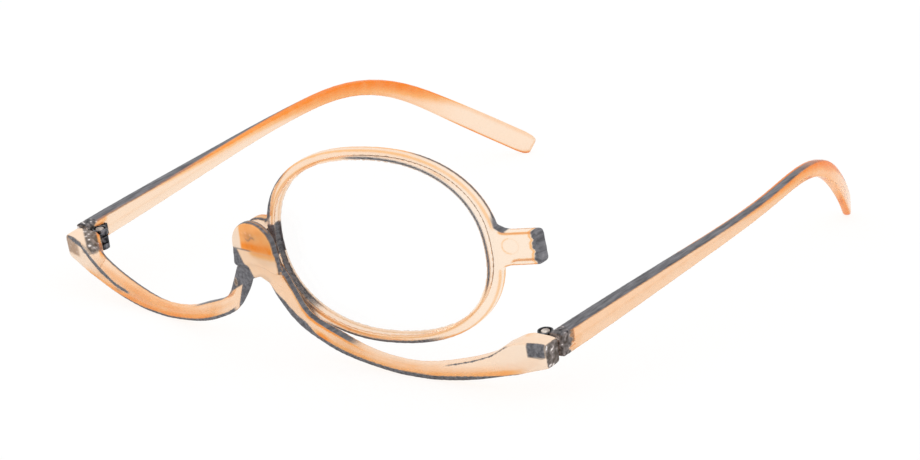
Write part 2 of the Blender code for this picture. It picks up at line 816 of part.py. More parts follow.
def tilted_height(co, angle):
    return co.y * math.sin(angle) + co.z * math.cos(angle)


def tilted_reach(co, angle):
    return co.y * math.cos(angle) - co.z * math.sin(angle)


def standing_pitch(frame, bar):
    """Angle at which the half rims and the temple tips touch the same plane, and that plane's height."""
    def lowest(obj, angle):
        return min(tilted_height(v.co, angle) for v in obj.data.vertices)

    low = 0.0
    high = math.radians(30.0)
    for _ in range(40):
        middle = (low + high) / 2
        if lowest(bar, middle) > lowest(frame, middle):
            high = middle
        else:
            low = middle
    return low, lowest(frame, low) / MM


def standing_frame(frame, bar):
    """Root empty that stands the glasses on the ground, centred from front to back."""
    pitch, lowest = standing_pitch(frame, bar)
    solids = [frame, bar] + list(frame.children)
    reach = [tilted_reach(v.co, pitch) / MM for obj in solids for v in obj.data.vertices]
    middle = (min(reach) + max(reach)) / 2
    root = empty("glasses", Vector((0, -middle, -lowest - FOOT_FLAT)))
    root.rotation_euler = (pitch, 0, 0)
    return root


def flatten_feet(pieces):
    """Flattens what would reach below the surface that the glasses stand on."""
    reach = 2 * TEMPLE_LENGTH
    table = add_object("table_tool", box((-reach, -reach, -reach), (reach, reach, 0)))
    table.hide_render = True
    table.display_type = "WIRE"
    for piece in pieces:
        boolean(piece, table, "DIFFERENCE")


def build():
    for old in list(bpy.data.objects):
        bpy.data.objects.remove(old)
    peach = material("peach_plastic", (1.0, 0.72, 0.50), 0.12)
    clear = material("clear_lens", (0.93, 0.95, 0.98), 0.03)
    steel = material("steel", (0.62, 0.62, 0.64), 0.3, 1.0)
    brass = material("brass", (0.80, 0.62, 0.30), 0.35, 1.0)
    nylon = material("washer_nylon", (0.93, 0.90, 0.85), 0.5)

    frame = front_frame(peach)
    fixed = [frame, pivot_screw(steel), pivot_insert(brass), friction_washer(nylon)]
    turning = [lens_rim(peach), lens(clear)]
    sides = {"left": -1, "right": 1}
    arms = {}
    for side, sign in sides.items():
        fixed += [front_leaf(side, sign, steel), hinge_screw(side, sign, steel)]
        arms[side] = [temple(side, sign, peach), temple_leaf(side, sign, steel)]

    root = standing_frame(frame, arms["right"][0])
    for obj in fixed:
        obj.parent = root
    swing = empty("lens_axis", Vector((0, 0, 0)), root)
    swing.rotation_euler = (0, -math.radians(LENS_RAISE_SHOWN), 0)
    for obj in turning:
        obj.parent = swing
    for side, pieces in arms.items():
        pivot = hinge_axis(sides[side])
        fold = empty(side + "_fold_axis", pivot, root)
        for obj in pieces:
            hang(obj, fold, pivot)
    flatten_feet([frame] + [pieces[0] for pieces in arms.values()])
    bpy.context.view_layer.update()


build()
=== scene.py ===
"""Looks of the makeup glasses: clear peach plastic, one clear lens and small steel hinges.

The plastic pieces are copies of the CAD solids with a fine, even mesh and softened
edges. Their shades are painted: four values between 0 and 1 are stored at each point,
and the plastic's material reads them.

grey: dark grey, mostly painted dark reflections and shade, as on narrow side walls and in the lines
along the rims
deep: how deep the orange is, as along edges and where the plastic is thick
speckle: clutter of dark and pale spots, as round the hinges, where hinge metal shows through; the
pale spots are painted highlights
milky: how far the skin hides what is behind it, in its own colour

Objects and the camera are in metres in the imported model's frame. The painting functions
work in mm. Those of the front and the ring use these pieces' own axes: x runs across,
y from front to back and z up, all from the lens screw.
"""
import json
import math

import bpy
import numpy as np
from mathutils import Matrix, Vector
from mathutils.bvhtree import BVHTree

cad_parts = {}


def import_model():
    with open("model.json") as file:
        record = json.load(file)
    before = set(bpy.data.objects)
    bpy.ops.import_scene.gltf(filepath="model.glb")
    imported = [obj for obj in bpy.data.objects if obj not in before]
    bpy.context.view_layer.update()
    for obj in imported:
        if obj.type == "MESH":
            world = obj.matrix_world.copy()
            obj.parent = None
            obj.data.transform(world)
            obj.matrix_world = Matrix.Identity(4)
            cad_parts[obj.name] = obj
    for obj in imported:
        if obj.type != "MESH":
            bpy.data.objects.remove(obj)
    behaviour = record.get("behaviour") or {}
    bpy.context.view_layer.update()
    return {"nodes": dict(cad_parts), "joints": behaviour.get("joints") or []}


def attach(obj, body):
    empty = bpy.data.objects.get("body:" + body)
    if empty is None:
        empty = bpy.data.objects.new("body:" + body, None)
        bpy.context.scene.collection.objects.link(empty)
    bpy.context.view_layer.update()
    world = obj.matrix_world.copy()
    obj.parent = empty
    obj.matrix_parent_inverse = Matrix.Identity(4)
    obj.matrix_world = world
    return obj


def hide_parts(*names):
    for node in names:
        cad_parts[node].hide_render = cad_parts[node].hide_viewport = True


MM = 0.001

# Camera, from the photograph: bearing and height in degrees, distance and target in metres
CAMERA_AZIMUTH = 37.19
CAMERA_ELEVATION = 16.84
CAMERA_ROLL = -0.45
CAMERA_DISTANCE = 0.74324
CAMERA_TARGET = (0.025205, -0.043221, 0.022764)
CAMERA_REACH = 20.0
CAMERA_LENS_MM = 134.69
SENSOR_MM = 36.0
FLOOR_HALF_WIDTH = 3.0

# The plastic pieces by CAD node, with the body that each rides on
PLASTIC_BODIES = {
    "front_frame": "front",
    "lens_rim": "lens",
    "left_temple": "left_temple",
    "right_temple": "right_temple",
}

# Their mesh size in mm, and how often their points are smoothed
FINE = 0.25
SOFTEN_STEPS = 6
NOSE_SOFTEN_STEPS = 40

# Wrap radius of the front and the ring in mm, and how far the ring is turned up in degrees
FRONT_WRAP = 242.0
RING_WRAP = 200.0
RING_SEAT = 3.0
LENS_TURN = 5.6

# Opening of the ring in mm: an oval, with a squareness of 2 for an ellipse and more for a
# squarer shape
OPENING_CENTRE = 28.7
OPENING_HALF_LENGTH = 24.9
OPENING_HALF_HEIGHT = 19.7
OPENING_SQUARENESS = 2.25

# Zones on the front, in mm: a START, END, EDGE or FOOT is where a soft change begins and
# ends, and the others are the two limits of a zone
SIDE_START = (6, 12)
RIM_START = (13, 20)
NOSE_END = (17, 27)
RIM_END = (58, 63)
BOSS_EDGE = (5.6, 6.6)
BOSS_FOOT = (-8.5, -7.0)
BOSS_FACE_EDGE = (-3.0, -2.5)
BOSS_FACE_FOOT = (-0.5, 0.1)
POCKET_ACROSS = (57.8, 63.6)
POCKET_HEIGHT = (-18.8, -14.0)
POCKET_START = (11.3, 11.6)
LEAF_ACROSS = (62.8, 66.6)
END_SIDE_START = (66.4, 66.7)

# Painted dark reflection line on the left end piece: its height in mm at some places across
REFLECTION_LINE_ACROSS = (44, 50, 55, 58, 61, 66)
REFLECTION_LINE_HEIGHT = (-22.0, -21.0, -18.7, -16.7, -14.4, -13.5)

# Zones across the ring in mm, in the same way, and the round mark on its tab
LUG_END = (1.5, 2.5)
RING_END = (55.8, 57.0)
TAB_START = (57.0, 58.0)
TAB_GREY_END_START = (64.1, 64.5)
MARK_PLACE = (59.6, 0.8)
MARK_RADIUS = 1.7

# Parts of the ring by bearing round the opening, in degrees: 0 at the tab, 90 at the top
INNER_DARK_PART = (-20, 98)
UPPER_RIGHT_PART = (8, 62)
LEFT_PART = (140, 178)
LEFT_BAND_PART = (148, 169)
BESIDE_LUG_PART = (170, 180)
LOWER_LEFT_PART = (-185, -142)
LOWER_PART = (-132, -64)

# Zones along a temple, in mm in the model's frame
HINGE_END = (-62.4, -61.6)
BEND_START = (-10, 40)
BEND_END = (50, 66)
TIP_START = (56, 68)

# How orange each temple is all over, and just behind its hinge
TEMPLE_TINT = {"left": 0.06, "right": 0.2}
HINGE_TINT = {"left": 0.5, "right": 0.1}

EVERYWHERE = 1.0
WHITE = (1.0, 1.0, 1.0, 1)

# Colours of the plastic: peach by depth, the grey of its painted dark reflections and shade, and the
# clutter in it, whose palest tone is a painted highlight
PEACH_TONES = [(0.0, (1.0, 0.86, 0.73, 1)), (0.45, (1.0, 0.53, 0.21, 1)), (1.0, (1.0, 0.29, 0.03, 1))]
GREY_TONES = [(0.0, (0.092, 0.091, 0.1, 1)), (1.0, (0.22, 0.217, 0.235, 1))]
CLUTTER_TONES = [
    (0.2, (0.025, 0.023, 0.025, 1)),
    (0.45, (0.1, 0.095, 0.1, 1)),
    (0.8, (0.24, 0.21, 0.21, 1)),
    (0.97, (0.95, 0.9, 0.88, 1)),
]
ABSORBED_TONE = (1.0, 0.6, 0.1, 1)
ABSORBED_PER_METRE = 30.0

# Plastic and lens bend light less than real ones, so that the white ground shows through
CLEAR_IOR = 1.03
CLEAR_COAT = 0.3

# Colours of the other parts, from their dark marks to their light ones; on the metals the marks stand
# partly for painted reflections and highlights
STEEL_TONES = [(0.25, (0.015, 0.015, 0.018, 1)), (0.95, (0.24, 0.24, 0.26, 1))]
PALE_STEEL_TONES = [(0.25, (0.3, 0.25, 0.22, 1)), (0.95, (0.9, 0.82, 0.75, 1))]
BRASS_TONES = [(0.25, (0.5, 0.3, 0.12, 1)), (0.95, (0.95, 0.7, 0.4, 1))]
NYLON_TONES = [(0.0, (0.78, 0.74, 0.68, 1)), (1.0, (0.9, 0.87, 0.82, 1))]

# The floor as seen glows: its glow and its lit colour add up to white outside the shadow.
# The bounce is its colour for the light that it throws back on the glasses.
FLOOR_GLOW = (0.96, 0.89, 0.85, 1)
FLOOR_LIT = (0.05, 0.12, 0.16, 1)
FLOOR_BOUNCE = (0.9, 0.9, 0.9, 1)


def step(value, low, high):
    """Smooth rise from 0 at low to 1 at high, for arrays."""
    t = np.clip((value - low) / (high - low), 0.0, 1.0)
    return t * t * (3.0 - 2.0 * t)


def fall(value, low, high):
    """Smooth fall from 1 at low to 0 at high."""
    return 1 - step(value, low, high)


def within(value, low, high, soft):
    """1 between low and high, with soft ends."""
    return step(value, low - soft, low + soft) * fall(value, high - soft, high + soft)


def bump(value, middle, half):
    """Bell curve, 1 in the middle and about a third at half to either side."""
    return np.exp(-((value - middle) / half) ** 2)


def faces(share):
    """1 where the surface clearly faces a way, from its normal's share in that way."""
    return step(share, 0.2, 0.5)


def faces_squarely(share):
    """Like faces, but only where the surface is nearly square to that way."""
    return step(share, 0.5, 0.8)


class Skin:
    """Surface of a piece at its points, in mm: one array for each place and direction.

    With a wrap radius, square says how squarely the surface faces the wrapped front or
    back, and behind is the depth behind the wrapped front face through the origin.
    """

    def __init__(self, places, normals, wrap=None):
        self.x, self.y, self.z = places.T
        self.across = np.abs(self.x)
        self.rightward = normals[:, 0]
        self.forward = -normals[:, 1]
        self.upward = normals[:, 2]
        if wrap is not None:
            back = self.y - wrap
            radius = np.sqrt(self.x ** 2 + back ** 2 + self.z ** 2)
            along = self.x * self.rightward - back * self.forward + self.z * self.upward
            self.square = np.abs(along) / radius
            self.behind = back + np.sqrt(wrap ** 2 - self.x ** 2 - self.z ** 2)

    def slant(self):
        """1 where the surface is halfway from facing front to facing sideways."""
        return 2 * self.square * np.sqrt(np.clip(1 - self.square ** 2, 0, 1))

    def edge_line(self, ahead, up):
        """Rounded edge of the front (ahead=1) or back face with the upper (up=1) or lower side."""
        slanted = step(self.slant(), 0.55, 0.95)
        return slanted * faces(ahead * self.forward) * faces(up * self.upward)

    def on_left(self):
        """1 to the left of the nose."""
        return step(-self.x, *SIDE_START)


class Paint:
    """The four shades at the points of a piece, built up in layers."""

    def __init__(self, obj):
        self.mesh = obj.data
        count = len(self.mesh.vertices)
        self.shades = {name: np.zeros(count) for name in ("grey", "deep", "speckle", "milky")}

    def add(self, where, **amounts):
        """Adds to the named shades, in full where the mask is 1."""
        for name, amount in amounts.items():
            self.shades[name] += amount * where

    def cover(self, where, **values):
        """Puts new values in place of what is there, where the mask is 1."""
        for name, value in values.items():
            self.shades[name] = self.shades[name] * (1 - where) + value * where

    def sharpen(self, name, low, high):
        """Drives a shade to 0 below low and to 1 above high."""
        self.shades[name] = step(self.shades[name], low, high)

    def store(self):
        """Stores the shades on the mesh, for the material to read."""
        for name, values in self.shades.items():
            attribute = self.mesh.attributes.new(name, "FLOAT", "POINT")
            attribute.data.foreach_set("value", np.clip(values, 0.0, 1.0).astype(np.float32))


def camera():
    """Camera at the photograph's bearing, turned slightly about its own view line."""
    azimuth = math.radians(CAMERA_AZIMUTH)
    elevation = math.radians(CAMERA_ELEVATION)
    roll = math.radians(CAMERA_ROLL)
    back = Vector((
        math.sin(azimuth) * math.cos(elevation),
        -math.cos(azimuth) * math.cos(elevation),
        math.sin(elevation),
    ))
    right = Vector((math.cos(azimuth), math.sin(azimuth), 0))
    up = back.cross(right)
    rolled_right = right * math.cos(roll) + up * math.sin(roll)
    rolled_up = up * math.cos(roll) - right * math.sin(roll)
    data = bpy.data.cameras.new("camera")
    data.lens = CAMERA_LENS_MM
    data.sensor_width = SENSOR_MM
    data.clip_end = CAMERA_REACH
    cam = bpy.data.objects.new("camera", data)
    bpy.context.scene.collection.objects.link(cam)
    place = Vector(CAMERA_TARGET) + back * CAMERA_DISTANCE
    turn = Matrix((rolled_right, rolled_up, back)).transposed()
    cam.matrix_world = Matrix.Translation(place) @ turn.to_4x4()
    bpy.context.scene.camera = cam


def evaluated_mesh(obj):
    """Mesh of an object with its modifiers applied."""
    bpy.context.view_layer.update()
    depsgraph = bpy.context.evaluated_depsgraph_get()
    return bpy.data.meshes.new_from_object(obj.evaluated_get(depsgraph), depsgraph=depsgraph)


def smooth_modifier(obj, steps):
    """New modifier that smooths an object's points this many times."""
    smooth = obj.modifiers.new("soft", "SMOOTH")
    smooth.factor = 0.5
    smooth.iterations = steps
    return smooth


def soft_copy(node, name, body):
    """Finely meshed copy of a CAD node with softened edges, in the node's place."""
    source = frame["nodes"][node]
    obj = bpy.data.objects.new(name, source.data.copy())
    bpy.context.scene.collection.objects.link(obj)
    remesh = obj.modifiers.new("fine", "REMESH")
    remesh.mode = "VOXEL"
    remesh.voxel_size = FINE * MM
    smooth_modifier(obj, SOFTEN_STEPS)
    obj.data = evaluated_mesh(obj)
    obj.modifiers.clear()
    if node == "front_frame":
        blend_nose(obj)
    obj.data.materials.clear()
    obj.data.shade_smooth()
    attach(obj, body)
    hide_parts(node)
    return obj


def blend_nose(obj):
    """Flows the nose block into the legs below it."""
    skin = own_skin(obj, FRONT_WRAP)
    share = fall(skin.z, -3.0, -1.4) * fall(skin.across, 12, 18)
    group = obj.vertex_groups.new(name="nose")
    for i in np.nonzero(share > 0.01)[0]:
        group.add([int(i)], float(share[i]), "REPLACE")
    smooth_modifier(obj, NOSE_SOFTEN_STEPS).vertex_group = "nose"
    obj.data = evaluated_mesh(obj)
    obj.modifiers.clear()
    obj.vertex_groups.clear()


def points_and_normals(obj):
    """World places in mm and normals of an object's points, as arrays."""
    mesh = obj.data
    count = len(mesh.vertices)
    places = np.empty(count * 3)
    mesh.vertices.foreach_get("co", places)
    normals = np.empty(count * 3)
    mesh.vertices.foreach_get("normal", normals)
    return places.reshape(-1, 3) / MM, normals.reshape(-1, 3)


def lens_joint():
    """Joint at the lens screw, which gives the front's own axes their origin and tilt."""
    return next(joint for joint in frame["joints"] if joint["name"] == "lens_swing")


def forward_tilt():
    """How far the front leans forward, in radians."""
    return math.asin(-lens_joint()["axis"][2])


def own_skin(obj, wrap, lens_turn=0.0):
    """Skin in the frame's own axes, or in the lens part's with its turn in degrees."""
    places, normals = points_and_normals(obj)
    screw = np.array(lens_joint()["pos_m"]) / MM
    untilt = Matrix.Rotation(-forward_tilt(), 3, "X")
    unturn = Matrix.Rotation(math.radians(lens_turn), 3, "Y")
    turn = np.array(unturn @ untilt).T
    return Skin((places - screw) @ turn, normals @ turn, wrap)


def room_inside(obj, directions, inset=0.6):
    """Distances in mm from just inside each point to the surface, one array per direction."""
    mesh = obj.data
    places = [v.co.copy() for v in mesh.vertices]
    tree = BVHTree.FromPolygons(places, [tuple(p.vertices) for p in mesh.polygons])
    rooms = [np.zeros(len(places)) for _ in directions]
    for i, vertex in enumerate(mesh.vertices):
        inside = vertex.co - vertex.normal * inset * MM
        for room, direction in zip(rooms, directions):
            hit = tree.ray_cast(inside, Vector(direction))
            if hit[3] is not None:
                room[i] = hit[3] / MM
    return rooms


def paint_temple(obj, side):
    """Painted dark reflection on the top face that fades towards the bend, with orange just below it.
    """
    skin = Skin(*points_and_normals(obj))
    paint = Paint(obj)
    along = skin.y
    sign = 1 if side == "right" else -1
    directions = [(0, 0, 1), (0, 0, -1), (sign, 0, 0), (-sign, 0, 0)]
    above, below, outward, inward = room_inside(obj, directions)
    bend = step(along, *BEND_START) * fall(along, *BEND_END)
    tip = step(along, *TIP_START)
    if side == "right":
        band, depth = right_temple_band(along, inward, bend)
    else:
        band, depth = left_temple_band(along, outward, bend)
    upper = step(skin.upward, 0.35, 0.75)
    underside = step(-skin.upward, 0.3, 0.8)
    # Painted dark reflection on the upward faces, in the band
    paint.add(upper * band, grey=1.0)
    paint.add(EVERYWHERE, deep=TEMPLE_TINT[side])
    paint.add(upper * (1 - tip), deep=0.7)
    paint.add(fall(above, 0.2, depth) * (1 - 0.7 * step(along, 48, 64)), deep=0.72)
    paint.add(fall(below, 0.1, 0.9) * (1 - underside), deep=0.4)
    paint.add(bend, deep=0.12)
    paint.add(tip * underside, deep=0.85)
    ragged = along + 0.4 * np.sin(2.1 * skin.z) + 0.3 * np.sin(4.7 * skin.z + 1.3 * skin.x)
    paint.add(step(ragged, -62.0, -61.4) * fall(ragged, -59.4, -58.0), deep=HINGE_TINT[side])
    # Clutter at the hinge end: hinge metal seen through, with painted highlights
    paint.add(fall(ragged, *HINGE_END), speckle=0.95)
    paint.store()


def right_temple_band(along, inward, bend):
    """Painted dark reflection in a band that stops short of the top's far edge, and how deep the
    orange below it goes.
    """
    far_edge = 0.1 + 0.45 * step(along, -40, -10) + 0.3 * bend
    band = fall(along, 24, 60) * step(inward, far_edge, far_edge + 0.35)
    return band, 0.6 + 2.2 * bend


def left_temple_band(along, outward, bend):
    """Painted dark reflection in a band by the outer edge, narrower backward, and how deep the orange
    below it goes.
    """
    wide = 3.0 - 2.5 * step(along, -50, 30)
    band = fall(along, 8, 30) * fall(outward, wide - 0.3, wide + 0.3) * step(outward, 0.1, 0.35)
    return band, 0.6 + 0.9 * step(along, -60, -15) + 3.0 * bend


def paint_front(obj):
    """Rims and legs first, then the boss over them, then the two end pieces."""
    skin = own_skin(obj, FRONT_WRAP)
    paint = Paint(obj)
    tilt = forward_tilt()
    upright = Vector((0, -math.sin(tilt), math.cos(tilt)))
    above, below = room_inside(obj, [upright, -upright])
    paint_rims(paint, skin, above, below)
    paint_low_edge(paint, skin, below)
    paint_legs(paint, skin, below)
    paint_left_end_reflection(paint, skin)
    paint_boss(paint, skin)
    paint.sharpen("grey", 0.2, 0.75)
    paint_end_pieces(paint, skin)
    paint.store()


def paint_rims(paint, skin, above, below):
    """Warm tint of the half rims, with pale streaks on the left one that are painted highlights, and
    dark lines along their upper edges that are painted reflections.
    """
    rims = step(skin.across, *RIM_START) * fall(skin.across, *RIM_END)
    front_top = skin.edge_line(ahead=1, up=1)
    back_top = skin.edge_line(ahead=-1, up=1) * within(skin.across, 10, 62, 2)
    right_top = step(skin.x, 41, 47) * fall(skin.x, 57, 60) * front_top
    far_top = skin.on_left() * step(skin.upward, 0.4, 0.7) * step(skin.behind, 2.3, 2.7)
    far_top *= within(skin.across, 33, 58, 5)
    broad = skin.on_left() * within(skin.across, 10, 50, 6)
    # Pale streaks along the left rim, where the orange is lowered: painted highlights
    streaks = bump(above, 1.3, 0.3) + bump(above, 2.6, 0.3)
    paint.add(EVERYWHERE, deep=0.06)
    paint.add(fall(skin.square, 0.25, 0.65), deep=0.08)
    paint.add(broad * (1 - 0.5 * streaks), deep=0.2)
    paint.add(rims * fall(below, 0.6, 2.6), deep=0.3)
    paint.add(front_top, deep=0.1)
    # Dark lines along the upper edges: painted reflections
    paint.add(back_top, grey=0.45, deep=0.9)
    paint.add(right_top, grey=0.9)
    paint.add(far_top, grey=0.8, deep=0.6)


def paint_low_edge(paint, skin, below):
    """Painted shade as a dark line along the lowest edge, with a warm band above it."""
    facing = faces(skin.forward)
    rims = step(skin.across, *RIM_START) * fall(skin.across, *RIM_END)
    reach = np.maximum(step(-skin.x, 7, 11), step(skin.x, 2, 4)) * fall(skin.across, *RIM_END)
    # The line thins towards the ends and on the left, and it is thickest at the right leg's foot
    thick = 1.4 - 0.8 * step(skin.across, 46, 61) + 1.35 * within(skin.x, 5, 12, 1.5)
    thick -= skin.on_left() * (0.43 + 0.15 * step(skin.across, 40, 58))
    line = fall(below, thick - 0.25, thick + 0.1) * facing
    line = np.maximum(line, skin.edge_line(ahead=1, up=-1))
    # Painted shade along the lowest edge
    paint.add(reach * line, grey=0.95)
    paint.add(rims * facing * within(below, thick, thick + 0.9, 0.25), deep=0.25)


def paint_legs(paint, skin, below):
    """Grey walls of painted dark reflection and brown edges of the arch and its legs, with marks on
    both legs.
    """
    near_nose = fall(skin.across, *NOSE_END)
    wall = fall(skin.square, 0.25, 0.65)
    seen = fall(-skin.forward, 0.2, 0.5) * fall(-skin.upward, 0.0, 0.3)
    edges = skin.edge_line(ahead=1, up=1) + skin.edge_line(ahead=1, up=-1)
    patch = bump(skin.x, 14.6, 1.8) * fall(below, 1.6, 3.2) * faces(skin.forward)
    # Painted dark reflection on the walls near the nose
    paint.add(near_nose * wall * seen, grey=1.0)
    paint.add(near_nose * (1 - skin.on_left()), deep=0.14)
    paint.add(near_nose * step(skin.x, 2.5, 5) * edges, deep=0.7)
    paint.add(left_leg_shade(skin), grey=1.0)
    paint.add(patch, deep=1.0, milky=0.6)


def left_leg_shade(skin):
    """Painted dark reflection over the left leg, which ends in two points below and has a pale spot
    that is a painted highlight.
    """
    middle = -5.6 - 0.94 * (-skin.z - 9.8)
    low_end = -9.6 - 1.8 * np.abs(skin.x - middle)
    shade = fall(skin.z + 0.7 * (skin.x + 6), -2.2, -1.4)
    shade *= step(skin.z, low_end - 0.6, low_end + 0.6)
    shade *= step(skin.x, -11.5, -9.5) * fall(skin.x, -1.5, 0.5)
    # Painted highlight as a pale spot in the dark reflection
    highlight_spot = bump(skin.x, -7.3, 0.6) * bump(skin.z, -9.4, 1.2)
    return shade * (1 - 0.8 * highlight_spot)


def paint_left_end_reflection(paint, skin):
    """Painted dark reflection as a line that leaves the top edge by the left hinge and sinks towards
    the lowest edge, with a fainter patch low down.
    """
    front_of_left = skin.on_left() * faces(skin.forward)
    height = np.interp(skin.across, REFLECTION_LINE_ACROSS, REFLECTION_LINE_HEIGHT)
    half = 0.45 + 0.4 * bump(skin.across, 56, 5)
    line = fall(np.abs(skin.z - height), half - 0.15, half + 0.15) * within(skin.across, 45, 66, 2)
    shade = bump(skin.across, 49, 2.5) * bump(skin.z, -22.2, 0.6)
    paint.add(front_of_left * line, grey=0.9)
    paint.add(front_of_left * shade, grey=0.5)


def paint_boss(paint, skin):
    """Boss in its own shades, over whatever the arch has there."""
    boss = fall(skin.across, *BOSS_EDGE) * step(skin.z, *BOSS_FOOT)
    face = boss * faces(skin.forward)
    paint.cover(boss, grey=boss_grey(skin), deep=boss_deep(skin))
    paint.add(face, milky=0.8)
    paint.add(face * bump(skin.x, -0.2, 1.6) * bump(skin.z, 3.4, 0.9), speckle=0.3)


def boss_grey(skin):
    """Painted dark reflection on the side wall over the top of the boss, with a glint along it as a
    painted highlight, and in the dark zone at its lower left; also a painted shade line at the foot
    of its face and a small dark mark.
    """
    x, y, z = skin.x, skin.y, skin.z
    glint = bump(y, 0.1, 0.3) * within(x, -1.5, 4.5, 0.7)
    top_arc = fall(np.abs(skin.forward), 0.35, 0.75) * step(y, -1.0, -0.5) * step(x, -4.6, -3.4)
    top_arc *= 1 - 0.55 * glint
    edge = -4.2 - 0.42 * (z + 1)
    low_left = fall(x - edge, -0.4, 0.4) * fall(z, -0.6, -0.1) * fall(-skin.forward, 0.2, 0.5)
    # Painted shade line along the foot of the boss face
    band = within(z, -0.5, 0.15, 0.2) * (0.25 + 0.3 * fall(x, -1.2, 0.4))
    mark_height = z - 0.22 * x - 0.3 * np.sin(3 * x)
    mark = 0.45 * within(x, -1.5, 1.5, 0.6) * within(mark_height, 2.4, 3.1, 0.25)
    return np.maximum(top_arc, low_left) + (band + mark) * faces_squarely(skin.forward)


def boss_deep(skin):
    """Orange face with a pale strip on its left, above a pale foot."""
    facing = faces_squarely(skin.forward)
    face = step(skin.x, *BOSS_FACE_EDGE) * step(skin.z, *BOSS_FACE_FOOT)
    glow = bump(skin.z, 0.9, 1.0)
    foot = (1 - face) * fall(-skin.z, 0.2, 2.4) * step(skin.x, -2.0, 0.5)
    below = step(-skin.z, 0.3, 0.6)
    orange = face * (0.55 + 0.4 * glow) + 0.45 * foot + 0.14 * below
    return 0.08 + facing * orange + 0.4 * (1 - facing)


def paint_end_pieces(paint, skin):
    """Milky ends with clear hinge pockets, grey patches on their faces, and clutter and glow by the
    hinges; the clutter's pale spots are painted highlights.
    """
    x, y, z, across = skin.x, skin.y, skin.z, skin.across
    facing = faces(skin.forward)
    upper = faces_squarely(skin.upward)
    left_top = skin.on_left() * upper
    pocket = within(across, *POCKET_ACROSS, 0.2) * within(z, *POCKET_HEIGHT, 0.2)
    pocket *= step(y, *POCKET_START)
    left_face = skin.on_left() * step(across, 61.5, 63.0) * step(z, -18.2, -17.4)
    left_face *= step(skin.forward, 0.3, 0.7)
    leaf_face = within(x, *LEAF_ACROSS, 0.15) * step(z, -16.8, -16.5)
    leaf_face *= step(skin.forward, 0.15, 0.35)
    right_side = step(x, *END_SIDE_START) * step(skin.rightward, 0.6, 0.8)
    slanting = x + 1.09 * (y - 9.7)
    clutter = left_top * within(slanting, -60.6, -56.4, 0.2) * step(across, 56.4, 57.0)
    glow = left_top * within(slanting, -56.6, -54.2, 0.5) * step(across, 54.5, 56.5)
    paint.cover(pocket, grey=0.0, deep=0.0)
    paint.add(left_face, grey=0.6, deep=0.3, speckle=0.25)
    paint.add(leaf_face, grey=1.0)
    # Clutter where hinge metal shows through, with painted highlights as its pale spots
    paint.add(right_side, speckle=0.92)
    paint.add(clutter, speckle=0.88)
    paint.add(glow, deep=0.7)
    paint.add(step(across, 52, 60) * np.maximum(0.55 * facing, 0.95 * upper), milky=1.0)


def paint_ring(obj):
    """Thin brown lines and grey ones of painted dark reflection and shade on the ring, painted grey
    by the lug and on the tab's end.
    """
    skin = own_skin(obj, RING_WRAP, LENS_TURN)
    paint = Paint(obj)
    outward, bearing = round_opening(skin)
    paint_ring_edges(paint, skin, outward, bearing)
    paint_ring_left(paint, skin, outward, bearing)
    paint_lug(paint, skin, outward)
    paint.cover(faces(-skin.forward), grey=0.0)
    paint_tab(paint, skin)
    paint.sharpen("grey", 0.1, 0.8)
    paint.store()


def round_opening(skin):
    """Distance outward from the opening's edge, and bearing in degrees from the tab's side."""
    aside = skin.x - OPENING_CENTRE
    length_share = np.abs(aside) / OPENING_HALF_LENGTH
    height_share = np.abs(skin.z) / OPENING_HALF_HEIGHT
    oval = length_share ** OPENING_SQUARENESS + height_share ** OPENING_SQUARENESS
    oval = oval ** (1 / OPENING_SQUARENESS)
    outward = np.hypot(aside, skin.z) * (1 - 1 / np.maximum(oval, 0.2))
    return outward, np.degrees(np.arctan2(skin.z, aside))


def paint_ring_edges(paint, skin, outward, bearing):
    """Lines along the ring's inner edge, and along its outer one in front and behind; their grey is
    painted dark reflection, and painted shade along the lower outer edge.
    """
    facing = step(skin.forward, 0.4, 0.8)
    frontward = step(skin.forward, 0.0, 0.3)
    on_ring = fall(skin.x, *RING_END)
    outer = step(outward, 1.6, 2.0) * on_ring
    dark_part = within(bearing, *INNER_DARK_PART, 9)
    inner_dark = bump(outward, 0.66, 0.36) * facing * dark_part
    inner_brown = bump(outward, 0.75, 0.26) * facing * (1 - dark_part)
    front_line = outer * step(skin.slant(), 0.45, 0.95) * frontward
    low_line = step(outward, 1.3, 1.6) * on_ring * frontward * within(bearing, *LOWER_PART, 14)
    back_line = outer * fall(skin.square, 0.3, 0.7) * step(skin.behind - RING_SEAT, 1.2, 1.7)
    streak = bump(bearing, 42, 7) * bump(outward, 1.5, 0.25) * facing
    paint.add(fall(skin.x, 36, 52), deep=0.08)
    # Painted dark reflection along the inner edge
    paint.add(inner_dark, grey=0.95)
    paint.add(inner_dark * fall(bearing, -10, 20), deep=0.9)
    paint.add(inner_brown, grey=0.3, deep=0.5)
    paint.add(front_line, grey=0.12, deep=0.4)
    paint.add(front_line * within(bearing, *LEFT_PART, 6), grey=0.78)
    # Painted shade along the lower outer edge
    paint.add(low_line, grey=0.9)
    paint.add(back_line, deep=0.6)
    paint.add(back_line * within(bearing, *UPPER_RIGHT_PART, 8), grey=0.85)
    paint.add(streak, grey=0.3, deep=0.4)


def paint_ring_left(paint, skin, outward, bearing):
    """Painted dark reflection on the ring's left side, above, beside and below the lug."""
    band_start = 2.2 - 0.9 * step(bearing, 148, 166)
    band = within(outward, band_start, 2.8, 0.15) * within(bearing, *LEFT_BAND_PART, 5)
    low = within(bearing, *LOWER_LEFT_PART, 8) * fall(skin.x, *RING_END)
    paint.add(band * step(skin.forward, 0.0, 0.3), grey=0.85)
    paint.add(within(bearing, *BESIDE_LUG_PART, 3) * fall(outward, 1.6, 2.0), grey=0.45)
    paint.add(low * within(outward, 0.4, 0.95, 0.12), grey=0.7)
    paint.add(low * step(outward, 1.15, 1.35), grey=0.95)


